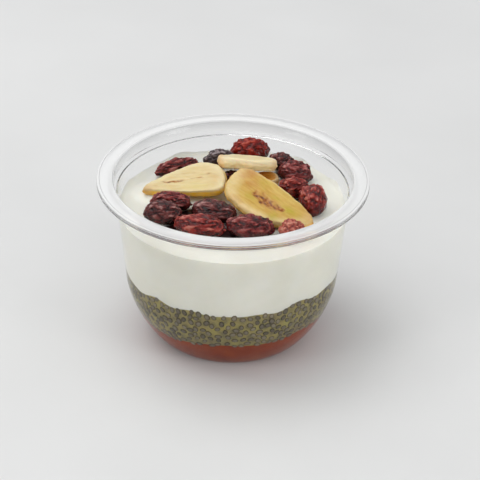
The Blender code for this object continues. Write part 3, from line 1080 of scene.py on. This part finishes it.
def dried_slice(node):
    """One slice of dried banana in the place of its plain solid."""
    piece = fine_copy(node, "dried_" + node, SLICE_VOXEL, 5)
    middle, axes = slice_axes(node)
    local = (points_of(piece) - middle) @ axes / MM
    reach = outline_reach(local)
    on_face = ease(0.2, 1.2, local[:, 2])
    wander = np.stack([rough(local, 0.5, 0.9, 0.5), rough(local + 9, 0.5, 0.9, 0.5)], 1)
    crooked = local[:, :2] + 0.9 * wander
    hollows = spots(crooked, HOLLOWS[node]) * on_face
    pits = hollows * ease(-0.30, 0.12, rough(local, 0.26, 0.95, 0.4))
    left = ease(-4, -14, local[:, 0]) * (node == "banana_right")
    band = ease(0.72 - 0.18 * left, 0.90, reach)
    change = -0.55 * pits - 0.45 * hollows
    change += 0.20 * band * (1 - ease(0.94, 1.0, reach)) * on_face
    change += 0.10 * rough(local, 0.12, 0.9, 0.3) + 0.24 * rough(local, 0.22, 0.22, 0.22)
    change += 0.10 * rough(local, 0.6, 1.1, 1.4) * (0.5 + band)
    normals = np.array([vertex.normal for vertex in piece.data.vertices])
    put_points(piece, points_of(piece) + normals * change[:, None] * MM)
    fit_to_solid(piece, node)
    paint(piece, "rim", band * on_face)
    paint(piece, "side", 1 - ease(0.1, 1.3, local[:, 2]))
    paint(piece, "mark", np.clip(0.45 * hollows + 0.75 * pits, 0, 1))
    paint(piece, "stain", spots(crooked, STAINS[node]))
    paint(piece, "olive", spots(crooked, OLIVES[node]) * on_face)
    grain = piece.data.attributes.new("grain", "FLOAT_VECTOR", "POINT")
    grain.data.foreach_set("vector", np.asarray(local * MM, np.float32).ravel())
    only(piece)
    bpy.ops.object.shade_smooth()
    return piece


slices = {node: dried_slice(node) for node in SLICES}
print("the slices have", sum(len(s.data.polygons) for s in slices.values()), "faces")

# %% Finishes of the slices
def slice_finish(name, pale, deep, rim_colour, side_colour, stain_colour, olive):
    """Fibrous flesh, paler at the rim, with brown hollows, stains and greenish patches."""
    made, tree, shader = finish(
        name, Roughness=0.42, IOR=1.45, Subsurface_Weight=0.25, Subsurface_Scale=1.2 * MM,
        Coat_Weight=0.12, Coat_Roughness=0.3,
    )
    shader.inputs["Subsurface Radius"].default_value = (1.0, 0.6, 0.25)
    grain = add(tree, "Attribute", attribute_name="grain").outputs["Vector"]
    stretched = add(tree, "VectorMath", {0: grain, 1: (0.16, 1.0, 0.6)}, operation="MULTIPLY")
    fibres = mottle(tree, 1.1 * MM, 4.0, stretched.outputs[0])
    cloud = mottle(tree, 3.0 * MM, 3.0, grain)
    flesh = ramp(tree, fibres, (0.33, deep), (0.64, pale))
    pale_share = ramp(tree, cloud, (0.40, (0, 0, 0)), (0.70, (0.6, 0.6, 0.6)))
    flesh = blend_colours(tree, pale_share, flesh, pale)
    for mark, colour in (
        ("side", side_colour), ("rim", rim_colour), ("stain", stain_colour), ("olive", olive),
    ):
        share = add(tree, "Attribute", attribute_name=mark).outputs["Fac"]
        uneven = number(tree, "MULTIPLY", share, number(tree, "MULTIPLY_ADD", cloud, 1.2, 0.3))
        flesh = blend_colours(tree, uneven, flesh, colour)
    brown = ramp(
        tree, mottle(tree, 1.3 * MM, 2.0, grain),
        (0.34, (0.15, 0.045, 0.010)), (0.50, (0.40, 0.135, 0.018)), (0.66, (0.52, 0.27, 0.06)),
    )
    mark = add(tree, "Attribute", attribute_name="mark").outputs["Fac"]
    brown_share = ramp(tree, mark, (0.12, (0, 0, 0)), (0.55, (1, 1, 1)))
    flesh = blend_colours(tree, brown_share, flesh, brown)
    tree.links.new(flesh, shader.inputs["Base Color"])
    bumps(tree, shader, fibres, 0.22 * MM)
    return made


pale = slice_finish(
    "banana_pale", (0.76, 0.62, 0.33), (0.68, 0.50, 0.22), (0.80, 0.67, 0.39), (0.94, 0.52, 0.03),
    (0.58, 0.30, 0.09), (0.70, 0.58, 0.15),
)
cream = slice_finish(
    "banana_cream", (0.87, 0.75, 0.45), (0.80, 0.62, 0.32), (0.88, 0.76, 0.48), (0.84, 0.66, 0.33),
    (0.72, 0.42, 0.17), (0.78, 0.66, 0.22),
)
ripe = slice_finish(
    "banana_ripe", (0.66, 0.45, 0.11), (0.53, 0.29, 0.03), (0.76, 0.58, 0.26), (0.66, 0.35, 0.05),
    (0.48, 0.18, 0.02), (0.47, 0.36, 0.015),
)
amber = slice_finish(
    "banana_amber", (0.70, 0.34, 0.05), (0.58, 0.22, 0.015), (0.76, 0.56, 0.28), (0.62, 0.30, 0.06),
    (0.50, 0.15, 0.01), (0.46, 0.36, 0.02),
)
SLICE_FINISHES = {
    "banana_left": pale, "banana_right": ripe, "banana_top": cream, "banana_under": amber,
}
for node, piece in slices.items():
    piece.data.materials.append(SLICE_FINISHES[node])
    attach(piece, "root")
    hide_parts(node)
